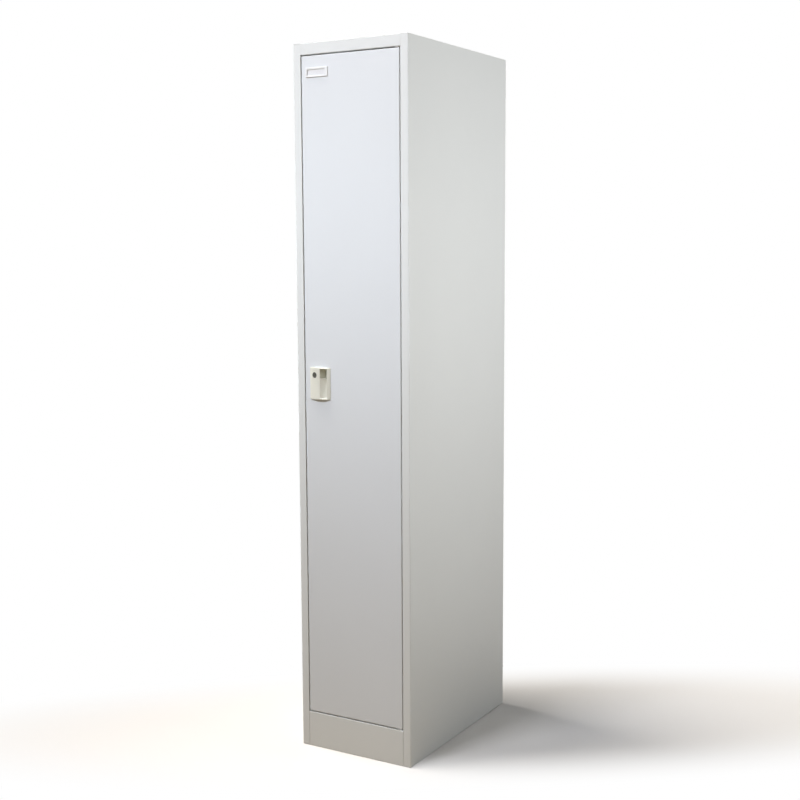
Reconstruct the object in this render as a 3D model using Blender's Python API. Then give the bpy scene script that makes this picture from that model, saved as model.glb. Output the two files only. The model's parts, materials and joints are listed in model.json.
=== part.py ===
"""Single door steel locker: a folded sheet cabinet with a pivot hung door, a hat shelf and a hanger rod.

Units are metres. X runs to the right, Y to the back and Z up. The origin lies on the floor, in the middle of
the locker's footprint with its handle.
"""

import math

import bmesh
import bpy
from mathutils import Matrix, Vector

# Cabinet
WIDTH = 0.327
DEPTH = 0.527  # without the handle
HEIGHT = 1.790

# Sheet steel
SHEET = 0.0008
BODY_BEND = 0.0022  # inside radius of the cabinet's long edges
DOOR_BEND = 0.0012  # inside radius of the door's edges
FOLD_BEND = 0.0007  # inside radius of every other fold
SEAM = 0.0003  # gap left where pieces are welded or seated

# Frame
STILE_WIDTH = 0.0215  # face of each upright
RAIL_HEIGHT = 0.0282  # face of the top rail
SILL_HEIGHT = 0.0924  # top of the kick plate
STOP_WIDTH = 0.012  # side stops
HEADER_STOP = 0.010  # stop under the top rail
KICK_FOOT = 0.015  # kick plate's flange on the floor
TOP_REAR_FLANGE = 0.020
FOOT_LEG = 0.015  # upright legs of the foot angles
BACK_INSET = 0.011  # back panel in front of the walls' rear flanges

# Floor pan
FLOOR_STEP = 0.0116  # floor over the sill
FLOOR_FLANGE = 0.022
FLOOR_RIB_WIDTH = 0.040
FLOOR_RIB_DEPTH = 0.015

# Hat shelf and hanger rod
HAT_SPACE = 0.340  # from the shelf to the top of the cabinet
SHELF_FLANGE = 0.025
SHELF_LIP = 0.012
SHELF_SETBACK = 0.004  # behind the door stops
SHELF_RAIL_LEG = 0.016
SHELF_RAIL_END = 0.018  # left free at each end of a shelf rail
ROD_DROP = 0.062  # rod's axis under the shelf's top
ROD_RADIUS = 0.0095
ROD_WALL = 0.0012
SOCKET_FLANGE = 0.0052  # base round the cup
SOCKET_BASE = 0.0025
SOCKET_CUP_WALL = 0.002
SOCKET_DEPTH = 0.012

# Door
SIDE_GAP = 0.0025
TOP_GAP = 0.003
DOOR_DEPTH = 0.016
CHANNEL_WIDTH = 0.012
RIB_WIDTH = 0.040
RIB_DEPTH = 0.011
RIB_FLANGE = 0.012
RIB_END = 0.030  # left free at each end of the door's rib

# Pivot hinge
PIVOT_INSET = 0.008  # from the door's hinge edge
PIVOT_DEPTH = 0.0065  # behind the door's face
PIN_RADIUS = 0.0025
PIN_HEAD_LAP = 0.0012
PIN_HEAD = 0.002
PIN_END = 0.002  # how far a pin's end passes its bush
RUNNING = 0.0003  # clearance round what turns or slides
BUSH_WALL = 0.001
BUSH_RIM = 0.0012
BUSH_RIM_LAP = 0.002
BUSH_END = 0.001  # how far a bush passes its hinge plate
WASHER = 0.0009
HINGE_PLATE = 0.002
HINGE_PLATE_REACH = 0.022
BLOCK_HEIGHT = 0.010
BLOCK_REACH = 0.014
BLOCK_BEHIND = 0.0055  # block's back face behind the pin's axis

# Door buffers
BUFFER = 0.0039
BUFFER_RADIUS = 0.004
BUFFER_INSET = 0.185  # from the door's ends
BUFFER_DROP = 0.096  # middle buffer under the lock

# Handle
HANDLE_MARGIN = 0.0158  # from the door's lock edge
HANDLE_LEVEL = 0.9149  # foot of the handle over the floor
HANDLE_RISE = 0.0105
HANDLE_EDGE = 0.0025
HANDLE_ROUND = 0.0015
HANDLE_LEFT = 0.0098  # plate left of the lock
HANDLE_BRIDGE = 0.0097  # plate between the lock and the pocket
HANDLE_RIGHT = 0.0079  # plate right of the pocket
HANDLE_TOP = 0.003  # plate over the pocket
HANDLE_FOOT = 0.0022  # plate under the pocket
HANDLE_HOLE = 0.001  # clearance in the door round what passes through it
POCKET_WIDTH = 0.018
POCKET_HEIGHT = 0.0754
POCKET_FLOOR = 0.004  # pocket's floor in front of the door's face
POCKET_WALL = 0.0012
GRIP_HEIGHT = 0.0257  # deep part of the pocket, under its top
GRIP_BEHIND = 0.0145  # grip's back behind the door's face
RETAINER = 0.0015
RETAINER_LAP = 0.004

# Cam lock
LOCK_DROP = 0.0198  # under the handle's top edge
LOCK_SINK = 0.0004  # barrel's rim under the plate at its lowest side
BARREL_RIM = 0.0025
BARREL_RIM_LAP = 0.0013
BARREL_WALL = 0.0011
KEYWAY_WIDTH = 0.0013
KEYWAY_HEIGHT = 0.0056
KEYWAY_DEPTH = 0.006
TAIL_SIDE = 0.006
TAIL_LAND = 0.00036  # plug outside the corners of its tail
NUT = 0.0035
NUT_WALL = 0.0027  # at its corners
CAM = 0.002
CAM_CLEAR = 0.001  # behind the stop
CAM_WALL = 0.0034  # cam round the plug
CAM_END = 0.0007  # from the cam's tip to the plane of the jamb, when it is turned
CAM_TIP_WIDTH = 0.011
CAM_WASHER = 0.001
CAM_WASHER_RADIUS = 0.005
CAM_SCREW_RADIUS = 0.002
CAM_SCREW_LENGTH = 0.008
CAM_SCREW_HEAD = 0.0022
CAM_SCREW_HEAD_RADIUS = 0.0036

# Name card frame
CARD_FRAME_MARGIN = 0.014  # from the door's lock edge
CARD_FRAME_DROP = 0.0287  # under the door's top edge
CARD_FRAME_FACE = 0.0017  # in front of the card's groove
CARD_LIP = 0.003  # groove behind the window's edge
WINDOW_WIDTH = 0.050
WINDOW_HEIGHT = 0.0135
WINDOW_LEFT = 0.005  # frame left of the window
WINDOW_RIGHT = 0.009
WINDOW_TOP = 0.0057
WINDOW_FOOT = 0.0045
CARD = 0.0005
CARD_PLAY = 0.0006
CARD_END = 0.0035  # card's end inside the frame's open end

# Roundness
BEND_STEPS = 3
ROUND_STEPS = 24
BOW_STEPS = 12
TIP_STEPS = 8
EDGE_STEPS = 2  # rounded ends of the handle plate
SHARP_ANGLE = math.radians(35)  # a steeper edge is drawn sharp
MERGE = 1e-6  # points nearer than this are one
AXIS_SIZE = 0.05  # drawn size of an axis

# Outside radii of the folds
body_edge = BODY_BEND + SHEET
door_edge = DOOR_BEND + SHEET
fold_edge = FOLD_BEND + SHEET

# Planes of the cabinet
front = (HANDLE_RISE - DEPTH) / 2
back = front + DEPTH
wall_x = WIDTH / 2 - SHEET
jamb_x = WIDTH / 2 - STILE_WIDTH
between_x = jamb_x - SEAM
rail_z = HEIGHT - RAIL_HEIGHT
shelf_z = HEIGHT - HAT_SPACE
floor_z = SILL_HEIGHT + FLOOR_STEP
stop_y = front + DOOR_DEPTH + BUFFER + 2 * SEAM
behind_stop_y = stop_y + SHEET + SEAM
back_inner_y = back - BACK_INSET

# Planes of the door
door_x = jamb_x - SIDE_GAP
door_face_y = front  # flush with the frame
door_seat_y = door_face_y + SHEET + SEAM
door_back_y = door_face_y + DOOR_DEPTH
door_bottom_z = SILL_HEIGHT + BUSH_RIM + WASHER + 3 * SEAM
door_top_z = rail_z - TOP_GAP
channel_x = door_x - door_edge
block_ends = door_edge + BLOCK_HEIGHT
channel_ends = block_ends + SEAM + PIN_HEAD + SEAM

# Pivot hinge
hinge_x = door_x - PIVOT_INSET
hinge_y = door_face_y + PIVOT_DEPTH
pin_bore = PIN_RADIUS + RUNNING
bush_radius = pin_bore + BUSH_WALL
bush_rim_radius = bush_radius + BUSH_RIM_LAP

# Cam lock
plug_radius = TAIL_SIDE * math.sqrt(0.5) + TAIL_LAND
plug_bore = plug_radius + RUNNING
barrel_radius = plug_bore + BARREL_WALL
barrel_bore = barrel_radius + RUNNING
barrel_rim_radius = barrel_radius + BARREL_RIM_LAP
cam_radius = plug_radius + CAM_WALL
cam_y = stop_y + SHEET + CAM_CLEAR

# Handle, from left to right and from its foot up
handle_width = HANDLE_LEFT + 2 * barrel_rim_radius + HANDLE_BRIDGE + POCKET_WIDTH + HANDLE_RIGHT
handle_left = HANDLE_MARGIN - door_x
handle_right = handle_left + handle_width
handle_x = (handle_left + handle_right) / 2
lock_x = handle_left + HANDLE_LEFT + barrel_rim_radius
pocket_x = handle_right - HANDLE_RIGHT - POCKET_WIDTH / 2
pocket_foot_z = HANDLE_LEVEL + HANDLE_FOOT
pocket_top_z = pocket_foot_z + POCKET_HEIGHT
grip_z = pocket_top_z - GRIP_HEIGHT
handle_top_z = pocket_top_z + HANDLE_TOP
lock_z = handle_top_z - LOCK_DROP

# Name card
window_x = CARD_FRAME_MARGIN + WINDOW_LEFT - door_x
window_z = door_top_z - CARD_FRAME_DROP - WINDOW_TOP
card_seat_y = door_face_y - SEAM
card_groove_y = card_seat_y - CARD - CARD_PLAY

# Colour in sRGB from 0 to 255, roughness, metallic
FINISHES = {
    "cabinet_paint": ((226, 228, 225), 0.42, 0.0),
    "door_paint": ((224, 227, 228), 0.42, 0.0),
    "ivory_plastic": ((226, 225, 211), 0.38, 0.0),
    "white_plastic": ((236, 237, 236), 0.35, 0.0),
    "dark_nickel": ((98, 97, 90), 0.35, 1.0),
    "zinc_steel": ((176, 178, 180), 0.40, 1.0),
    "chrome": ((205, 206, 208), 0.15, 1.0),
    "nylon": ((230, 229, 222), 0.50, 0.0),
    "rubber": ((38, 38, 40), 0.80, 0.0),
    "card_stock": ((238, 239, 239), 0.85, 0.0),
}


def clear_scene():
    for obj in list(bpy.data.objects):
        bpy.data.objects.remove(obj)


def linear(channel):
    """An sRGB channel of 0 to 255 as linear light."""
    share = channel / 255
    if share <= 0.04045:
        return share / 12.92
    return ((share + 0.055) / 1.055) ** 2.4


def finish(name):
    """The material of this name, made on first use."""
    if name in bpy.data.materials:
        return bpy.data.materials[name]
    colour, roughness, metallic = FINISHES[name]
    material = bpy.data.materials.new(name)
    material.use_nodes = True
    shader = material.node_tree.nodes["Principled BSDF"]
    shader.inputs["Base Color"].default_value = (*map(linear, colour), 1.0)
    shader.inputs["Roughness"].default_value = roughness
    shader.inputs["Metallic"].default_value = metallic
    return material


def add_object(name, bm, material):
    """Makes an object whose origin is the middle of its shape."""
    low = Vector([min(vert.co[i] for vert in bm.verts) for i in range(3)])
    high = Vector([max(vert.co[i] for vert in bm.verts) for i in range(3)])
    middle = (low + high) / 2
    bmesh.ops.translate(bm, verts=bm.verts, vec=-middle)
    mesh = bpy.data.meshes.new(name)
    bm.to_mesh(mesh)
    bm.free()
    mesh.shade_smooth()
    mesh.set_sharp_from_angle(angle=SHARP_ANGLE)
    obj = bpy.data.objects.new(name, mesh)
    obj.location = middle
    if material:
        mesh.materials.append(finish(material))
    bpy.context.scene.collection.objects.link(obj)
    return obj


def add_axis(name, location, parent=None):
    """An empty that carries the pieces of one body."""
    axis = bpy.data.objects.new(name, None)
    axis.location = location
    axis.empty_display_size = AXIS_SIZE
    bpy.context.scene.collection.objects.link(axis)
    if parent:
        hang([axis], parent)
    return axis


def hang(pieces, parent):
    """Parents pieces where they stand."""
    bpy.context.view_layer.update()
    for piece in pieces:
        piece.parent = parent
        piece.matrix_parent_inverse = parent.matrix_world.inverted()


def on_axis(axis, u, v, along):
    """A point at (u, v) of the section and this far along X, Y or Z. The section is YZ, ZX or XY."""
    if axis == "X":
        return Vector((along, u, v))
    if axis == "Y":
        return Vector((v, along, u))
    return Vector((u, v, along))


def rounded(path, radius):
    """An open path of right-angled corners, with each corner turned on an arc."""
    corners = [Vector(point) for point in path]
    points = [corners[0]]
    for before, corner, after in zip(corners, corners[1:], corners[2:]):
        into = (corner - before).normalized()
        out = (after - corner).normalized()
        centre = corner - radius * into + radius * out
        for step in range(BEND_STEPS + 1):
            turn = step / BEND_STEPS * math.pi / 2
            points.append(centre - radius * math.cos(turn) * out + radius * math.sin(turn) * into)
    points.append(corners[-1])
    return points


def thicken(obj):
    """Gives a surface the sheet's thickness, behind its faces."""
    sheet = obj.modifiers.new("sheet", "SOLIDIFY")
    sheet.thickness = SHEET
    sheet.offset = -1.0
    sheet.use_even_offset = True


def folded_sheet(name, path, axis, start, end, material, edge=fold_edge):
    """A sheet folded along a path of section corners and run along an axis. Its metal is left of the path."""
    bm = bmesh.new()
    points = rounded(path, edge)
    near = [bm.verts.new(on_axis(axis, u, v, start)) for u, v in points]
    far = [bm.verts.new(on_axis(axis, u, v, end)) for u, v in points]
    for i in range(len(points) - 1):
        bm.faces.new((near[i], near[i + 1], far[i + 1], far[i]))
    obj = add_object(name, bm, material)
    thicken(obj)
    return obj


def pan(name, low, high, open_side, material, edge):
    """A sheet tray between two corners, open on one side, with round folds and closed corners."""
    bm = cube(low, high)
    bm.normal_update()
    lid = [face for face in bm.faces if face.normal.dot(Vector(open_side)) > 0.5]
    bmesh.ops.delete(bm, geom=lid, context="FACES")
    obj = add_object(name, bm, material)
    bend = obj.modifiers.new("bend", "BEVEL")
    bend.width = edge
    bend.segments = BEND_STEPS
    bend.limit_method = "ANGLE"
    thicken(obj)
    return obj


def cube(low, high):
    """A block between two corners, as a bmesh."""
    bm = bmesh.new()
    bmesh.ops.create_cube(bm, size=1.0)
    size = Vector(high) - Vector(low)
    middle = (Vector(high) + Vector(low)) / 2
    bmesh.ops.scale(bm, verts=bm.verts, vec=size)
    bmesh.ops.translate(bm, verts=bm.verts, vec=middle)
    return bm


def block(name, low, high, material=None):
    return add_object(name, cube(low, high), material)


def extruded(name, outline, axis, start, end, material=None):
    """A solid with a closed section, run along an axis."""
    bm = bmesh.new()
    base = bm.faces.new([bm.verts.new(on_axis(axis, u, v, start)) for u, v in outline])
    made = bmesh.ops.extrude_face_region(bm, geom=[base])
    top = [item for item in made["geom"] if isinstance(item, bmesh.types.BMVert)]
    bmesh.ops.translate(bm, verts=top, vec=on_axis(axis, 0, 0, end - start))
    bmesh.ops.recalc_face_normals(bm, faces=bm.faces)
    return add_object(name, bm, material)


def turned(name, profile, axis, centre, material=None, ring=False):
    """A turned piece: a profile of (radius, place along the axis) spun about X, Y or Z through a centre."""
    bm = bmesh.new()
    verts = [bm.verts.new((radius, 0, along)) for radius, along in profile]
    pairs = list(zip(verts, verts[1:]))
    if ring:
        pairs.append((verts[-1], verts[0]))
    edges = [bm.edges.new(pair) for pair in pairs]
    bmesh.ops.spin(
        bm,
        geom=verts + edges,
        axis=(0, 0, 1),
        cent=(0, 0, 0),
        steps=ROUND_STEPS,
        angle=2 * math.pi,
        use_merge=True,
    )
    bmesh.ops.remove_doubles(bm, verts=bm.verts, dist=MERGE)
    bmesh.ops.recalc_face_normals(bm, faces=bm.faces)
    turns = {
        "X": Matrix.Rotation(math.pi / 2, 4, "Y"),
        "Y": Matrix.Rotation(-math.pi / 2, 4, "X"),
        "Z": Matrix.Identity(4),
    }
    bmesh.ops.transform(bm, verts=bm.verts, matrix=Matrix.Translation(centre) @ turns[axis])
    return add_object(name, bm, material)


def rod(name, radius, start, end, axis, centre, material=None):
    """A plain round bar."""
    profile = [(0, start), (radius, start), (radius, end), (0, end)]
    return turned(name, profile, axis, centre, material)


def sleeve(name, outer, inner, start, end, axis, centre, material=None):
    """A plain round tube."""
    profile = [(inner, start), (outer, start), (outer, end), (inner, end)]
    return turned(name, profile, axis, centre, material, ring=True)


def combine(obj, tool, operation):
    """Joins or cuts an object with a helper, which is then hidden."""
    tool.hide_render = True
    tool.display_type = "WIRE"
    boolean = obj.modifiers.new(tool.name, "BOOLEAN")
    boolean.operation = operation
    boolean.solver = "EXACT"
    boolean.object = tool
    return obj


def cut(obj, tool):
    return combine(obj, tool, "DIFFERENCE")


def join(obj, tool):
    return combine(obj, tool, "UNION")


def bow(offset):
    """Height of the handle's bowed face over the door, this far from its middle."""
    half = handle_width / 2
    crown = HANDLE_RISE - HANDLE_EDGE
    radius = (half**2 + crown**2) / (2 * crown)
    return HANDLE_EDGE + math.sqrt(radius**2 - offset**2) - (radius - crown)


def side_panels():
    """Left and right walls, each folded in front as an upright and behind as a flange."""
    side = WIDTH / 2
    left_path = [(-jamb_x, back), (-side, back), (-side, front), (-jamb_x, front)]
    right_path = [(jamb_x, front), (side, front), (side, back), (jamb_x, back)]
    return [
        folded_sheet("left_side_panel", left_path, "Z", 0, HEIGHT, "cabinet_paint", body_edge),
        folded_sheet("right_side_panel", right_path, "Z", 0, HEIGHT, "cabinet_paint", body_edge),
    ]


def foot_angles():
    """Angles inside the lower edges of the walls, which the locker stands on."""
    outer = wall_x - SEAM
    left_path = [(0, -jamb_x), (0, -outer), (FOOT_LEG, -outer)]
    right_path = [(FOOT_LEG, outer), (0, outer), (0, jamb_x)]
    start = front + BODY_BEND
    end = back - BODY_BEND
    return [
        folded_sheet("left_foot_angle", left_path, "Y", start, end, "cabinet_paint"),
        folded_sheet("right_foot_angle", right_path, "Y", start, end, "cabinet_paint"),
    ]


def door_jambs():
    """Folded strips behind the uprights: the side of the rebate and the stop that the door closes on."""
    face_y = front + SHEET + SEAM
    weld_x = WIDTH / 2 - body_edge
    start = body_edge
    end = rail_z - fold_edge
    left_path = [(-weld_x, face_y), (-jamb_x, face_y), (-jamb_x, stop_y), (STOP_WIDTH - jamb_x, stop_y)]
    right_path = [(jamb_x - STOP_WIDTH, stop_y), (jamb_x, stop_y), (jamb_x, face_y), (weld_x, face_y)]
    return [
        folded_sheet("left_door_jamb", left_path, "Z", start, end, "cabinet_paint"),
        folded_sheet("right_door_jamb", right_path, "Z", start, end, "cabinet_paint"),
    ]


def top_panel():
    """Roof sheet with the front rail, the header over the door, its stop, and a rear flange.

    It lies between the walls, and its corners are notched round the uprights and the rear flanges.
    """
    edge_x = wall_x - SEAM
    path = [
        (back, HEIGHT - TOP_REAR_FLANGE),
        (back, HEIGHT),
        (front, HEIGHT),
        (front, rail_z),
        (behind_stop_y, rail_z),
        (behind_stop_y, rail_z - HEADER_STOP),
    ]
    panel = folded_sheet("top_panel", path, "X", -edge_x, edge_x, "cabinet_paint")
    notch = [
        (front - RAIL_HEIGHT, HEIGHT + RAIL_HEIGHT),
        (front + BODY_BEND, HEIGHT + RAIL_HEIGHT),
        (front + BODY_BEND, HEIGHT - fold_edge),
        (back - BODY_BEND, HEIGHT - fold_edge),
        (back - BODY_BEND, HEIGHT + RAIL_HEIGHT),
        (back + RAIL_HEIGHT, HEIGHT + RAIL_HEIGHT),
        (back + RAIL_HEIGHT, HEIGHT - 2 * RAIL_HEIGHT),
        (front - RAIL_HEIGHT, HEIGHT - 2 * RAIL_HEIGHT),
    ]
    cut(panel, extruded("left_notch", notch, "X", -WIDTH / 2, -between_x))
    cut(panel, extruded("right_notch", notch, "X", between_x, WIDTH / 2))
    return cut(panel, bush_hole("header_bush_hole", rail_z))


def kick_plate():
    """Front of the base, folded back at its top as the sill and at the floor as a foot."""
    path = [
        (stop_y - fold_edge, SILL_HEIGHT),
        (front, SILL_HEIGHT),
        (front, 0),
        (front + KICK_FOOT, 0),
    ]
    plate = folded_sheet("kick_plate", path, "X", -between_x, between_x, "cabinet_paint")
    return cut(plate, bush_hole("sill_bush_hole", SILL_HEIGHT))


def back_panel():
    """Sheet between the walls, with its side edges turned back along them."""
    edge_x = wall_x - SEAM
    rear_y = back - BODY_BEND
    path = [(-edge_x, rear_y), (-edge_x, back_inner_y), (edge_x, back_inner_y), (edge_x, rear_y)]
    start = FOOT_LEG + SEAM
    end = HEIGHT - SHEET - SEAM
    return folded_sheet("back_panel", path, "Z", start, end, "cabinet_paint")


def floor_pan():
    """Floor of the locker, with flanges turned down, and a rib under it."""
    edge_x = wall_x - SEAM
    low = (-edge_x, behind_stop_y, floor_z - FLOOR_FLANGE)
    high = (edge_x, back_inner_y - SEAM, floor_z)
    floor = pan("floor_pan", low, high, (0, 0, -1), "cabinet_paint", fold_edge)
    middle = (behind_stop_y + back_inner_y) / 2
    seat = floor_z - SHEET - SEAM
    half = FLOOR_RIB_WIDTH / 2
    path = [
        (middle - half, seat),
        (middle - half, seat - FLOOR_RIB_DEPTH),
        (middle + half, seat - FLOOR_RIB_DEPTH),
        (middle + half, seat),
    ]
    end_x = edge_x - fold_edge
    rib = folded_sheet("floor_rib", path, "X", -end_x, end_x, "cabinet_paint")
    return [floor, rib]


def hat_shelf():
    """Shelf with turned down front and rear edges, on an angle along each wall."""
    shelf_front = behind_stop_y + SHEET + SHELF_SETBACK
    shelf_back = back_inner_y - SEAM
    path = [
        (shelf_back, shelf_z - SHELF_FLANGE),
        (shelf_back, shelf_z),
        (shelf_front, shelf_z),
        (shelf_front, shelf_z - SHELF_FLANGE),
        (shelf_front + SHELF_LIP, shelf_z - SHELF_FLANGE),
    ]
    shelf = folded_sheet("hat_shelf", path, "X", SEAM - wall_x, wall_x - SEAM, "cabinet_paint")
    seat = shelf_z - SHEET - SEAM
    low = seat - SHELF_RAIL_LEG
    outer = wall_x - SEAM
    inner = outer - SHELF_RAIL_LEG
    start = shelf_front + SHELF_RAIL_END
    end = shelf_back - SHELF_RAIL_END
    left_path = [(low, -outer), (seat, -outer), (seat, -inner)]
    right_path = [(seat, inner), (seat, outer), (low, outer)]
    left = folded_sheet("left_shelf_rail", left_path, "Y", start, end, "cabinet_paint")
    right = folded_sheet("right_shelf_rail", right_path, "Y", start, end, "cabinet_paint")
    return [shelf, left, right]


def hanger_rod():
    """Round tube across the locker, in a cup on each wall."""
    centre = (0, (front + back) / 2, shelf_z - ROD_DROP)
    seat = wall_x - SEAM
    reach = seat - SOCKET_BASE - SEAM
    tube = sleeve("hanger_rod", ROD_RADIUS, ROD_RADIUS - ROD_WALL, -reach, reach, "X", centre, "chrome")
    bore = ROD_RADIUS + RUNNING
    cup = bore + SOCKET_CUP_WALL
    base = cup + SOCKET_FLANGE
    pieces = [tube]
    for name, side in (("left_rod_socket", -1), ("right_rod_socket", 1)):
        profile = [
            (0, side * seat),
            (base, side * seat),
            (base, side * (seat - SOCKET_BASE)),
            (cup, side * (seat - SOCKET_BASE)),
            (cup, side * (seat - SOCKET_DEPTH)),
            (bore, side * (seat - SOCKET_DEPTH)),
            (bore, side * (seat - SOCKET_BASE)),
            (0, side * (seat - SOCKET_BASE)),
        ]
        pieces.append(turned(name, profile, "X", centre, "zinc_steel"))
    return pieces


def bush_hole(name, level):
    """Cutter for a hinge bush through what lies about this level."""
    reach = SHEET + SEAM + HINGE_PLATE + SHEET
    return rod(name, bush_radius + RUNNING, -reach, reach, "Z", (hinge_x, hinge_y, level))


def hinge_plate(name, sheet_z, up):
    """Plate welded to the back of the header or the sill, which stiffens it round the bush."""
    near = sheet_z + up * (SHEET + SEAM)
    far = near + up * HINGE_PLATE
    margin = fold_edge + SEAM
    low = (hinge_x - HINGE_PLATE_REACH, front + margin, min(near, far))
    high = (between_x - margin, stop_y - margin, max(near, far))
    plate = block(name, low, high, "zinc_steel")
    return cut(plate, bush_hole(name + "_hole", sheet_z))


def hinge_bush(name, sheet_z, up):
    """Nylon bush with a rim on the door's side of the header or the sill."""
    seat = -up * SEAM
    rim = -up * (SEAM + BUSH_RIM)
    end = up * (SHEET + SEAM + HINGE_PLATE + BUSH_END)
    profile = [
        (pin_bore, rim),
        (bush_rim_radius, rim),
        (bush_rim_radius, seat),
        (bush_radius, seat),
        (bush_radius, end),
        (pin_bore, end),
    ]
    return turned(name, profile, "Z", (hinge_x, hinge_y, sheet_z), "nylon", ring=True)


def frame_hinge_parts():
    return [
        hinge_plate("upper_hinge_plate", rail_z, 1),
        hinge_plate("lower_hinge_plate", SILL_HEIGHT, -1),
        hinge_bush("upper_hinge_bush", rail_z, 1),
        hinge_bush("lower_hinge_bush", SILL_HEIGHT, -1),
    ]


def door_buffers():
    """Rubber pads on the lock side stop."""
    centre_x = STOP_WIDTH / 2 - jamb_x
    start = door_back_y + SEAM
    end = start + BUFFER
    places = {
        "lower_door_buffer": door_bottom_z + BUFFER_INSET,
        "middle_door_buffer": lock_z - BUFFER_DROP,
        "upper_door_buffer": door_top_z - BUFFER_INSET,
    }
    return [
        rod(name, BUFFER_RADIUS, start, end, "Y", (centre_x, 0, level), "rubber")
        for name, level in places.items()
    ]


def door_skin():
    """Shallow tray with holes for the handle and the hinge pins."""
    low = (-door_x, door_face_y, door_bottom_z)
    high = (door_x, door_back_y, door_top_z)
    skin = pan("door_skin", low, high, (0, 1, 0), "door_paint", door_edge)
    left, right, foot, top = handle_hole()
    reach = SHEET + door_edge
    hole = block("handle_hole", (left, door_face_y - reach, foot), (right, door_face_y + reach, top))
    cut(skin, hole)
    for name, level in (("lower_pin_hole", door_bottom_z), ("upper_pin_hole", door_top_z)):
        centre = (hinge_x, hinge_y, level)
        cut(skin, rod(name, pin_bore, -reach, reach, "Z", centre))
    return skin


def door_channel(name, left):
    """Channel along one edge of the door, with its web flush with the door's back."""
    right = left + CHANNEL_WIDTH
    path = [(right, door_seat_y), (right, door_back_y), (left, door_back_y), (left, door_seat_y)]
    start = door_bottom_z + channel_ends
    end = door_top_z - channel_ends
    return folded_sheet(name, path, "Z", start, end, "door_paint")


def door_rib():
    """Hat section down the door, midway between the handle and the hinge side channel."""
    middle = (handle_right + channel_x - CHANNEL_WIDTH) / 2
    left = middle - RIB_WIDTH / 2
    right = middle + RIB_WIDTH / 2
    foot = door_seat_y + SHEET
    crown = door_seat_y + RIB_DEPTH
    path = [
        (right + RIB_FLANGE, foot),
        (right, foot),
        (right, crown),
        (left, crown),
        (left, foot),
        (left - RIB_FLANGE, foot),
    ]
    return folded_sheet("door_rib", path, "Z", door_bottom_z + RIB_END, door_top_z - RIB_END, "door_paint")


def door_hinge_end(place, edge_z, inward):
    """One end of the door's hinge: a block welded in the corner and a headed pin through it."""
    centre = (hinge_x, hinge_y, edge_z)
    near = edge_z + inward * door_edge
    far = edge_z + inward * block_ends
    low = (hinge_x - BLOCK_REACH, door_seat_y, min(near, far))
    high = (door_x - door_edge, hinge_y + BLOCK_BEHIND, max(near, far))
    holder = block(f"{place}_pin_block", low, high, "zinc_steel")
    reach = 2 * block_ends
    cut(holder, rod(f"{place}_block_bore", pin_bore, -reach, reach, "Z", centre))
    gap = TOP_GAP if place == "upper" else door_bottom_z - SILL_HEIGHT
    tip = -inward * (gap + SHEET + SEAM + HINGE_PLATE + BUSH_END + PIN_END)
    shoulder = inward * (block_ends + SEAM)
    head = inward * (block_ends + SEAM + PIN_HEAD)
    profile = [
        (0, tip),
        (PIN_RADIUS, tip),
        (PIN_RADIUS, shoulder),
        (PIN_RADIUS + PIN_HEAD_LAP, shoulder),
        (PIN_RADIUS + PIN_HEAD_LAP, head),
        (0, head),
    ]
    pin = turned(f"{place}_hinge_pin", profile, "Z", centre, "zinc_steel")
    return [holder, pin]


def thrust_washer():
    """Washer that the door turns on, over the lower bush."""
    start = SILL_HEIGHT + 2 * SEAM + BUSH_RIM
    end = start + WASHER
    centre = (hinge_x, hinge_y, 0)
    return sleeve("thrust_washer", bush_rim_radius, pin_bore, start, end, "Z", centre, "zinc_steel")


def pocket_hollow():
    """Side view of the finger pocket: the deep grip, the floor under it, and a lip at 45 degrees."""
    floor_y = door_face_y - POCKET_FLOOR
    crown_y = door_face_y - HANDLE_RISE
    ahead_y = crown_y - HANDLE_RISE
    back_y = door_face_y + GRIP_BEHIND
    return [
        (ahead_y, pocket_top_z),
        (back_y, pocket_top_z),
        (back_y, grip_z),
        (floor_y, grip_z),
        (floor_y, pocket_foot_z + floor_y - crown_y),
        (crown_y, pocket_foot_z),
        (ahead_y, pocket_foot_z),
    ]


def grip_block(name, margin, mouth_y):
    """Box round the grip, grown by a margin, from its mouth to its back."""
    half = POCKET_WIDTH / 2 + margin
    low = (pocket_x - half, mouth_y, grip_z - margin)
    high = (pocket_x + half, door_face_y + GRIP_BEHIND + margin, pocket_top_z + margin)
    return block(name, low, high)


def handle_hole():
    """Left, right, foot and top of the hole in the door for the grip and the lock."""
    left = lock_x - barrel_bore - HANDLE_HOLE
    right = pocket_x + POCKET_WIDTH / 2 + POCKET_WALL + HANDLE_HOLE
    foot = grip_z - POCKET_WALL - HANDLE_HOLE
    top = pocket_top_z + POCKET_WALL + HANDLE_HOLE
    return left, right, foot, top


def handle_body():
    """Bowed plate with a finger pocket whose grip reaches through the door, and a stepped bore for the lock."""
    half = handle_width / 2
    rear_y = door_face_y - SEAM
    offsets = [half * (2 * step / BOW_STEPS - 1) for step in range(BOW_STEPS + 1)]
    outline = [(handle_x + offset, door_face_y - bow(offset)) for offset in offsets]
    outline += [(handle_x + half, rear_y), (handle_x - half, rear_y)]
    plate = extruded("handle_body", outline, "Z", HANDLE_LEVEL, handle_top_z, "ivory_plastic")
    round_ends(plate, rear_y - plate.location.y)
    join(plate, grip_block("grip_shell", POCKET_WALL, rear_y - HANDLE_EDGE / 2))
    inner = POCKET_WIDTH / 2
    cut(plate, extruded("pocket_hollow", pocket_hollow(), "X", pocket_x - inner, pocket_x + inner))
    rim_y = barrel_rim_y()
    centre = (lock_x, 0, lock_z)
    rim_seat_y = rim_y + BARREL_RIM + SEAM
    cut(plate, rod("rim_bore", barrel_rim_radius + RUNNING, rim_y - HANDLE_RISE, rim_seat_y, "Y", centre))
    cut(plate, rod("handle_barrel_bore", barrel_bore, rim_y, door_back_y, "Y", centre))
    return plate


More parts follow.
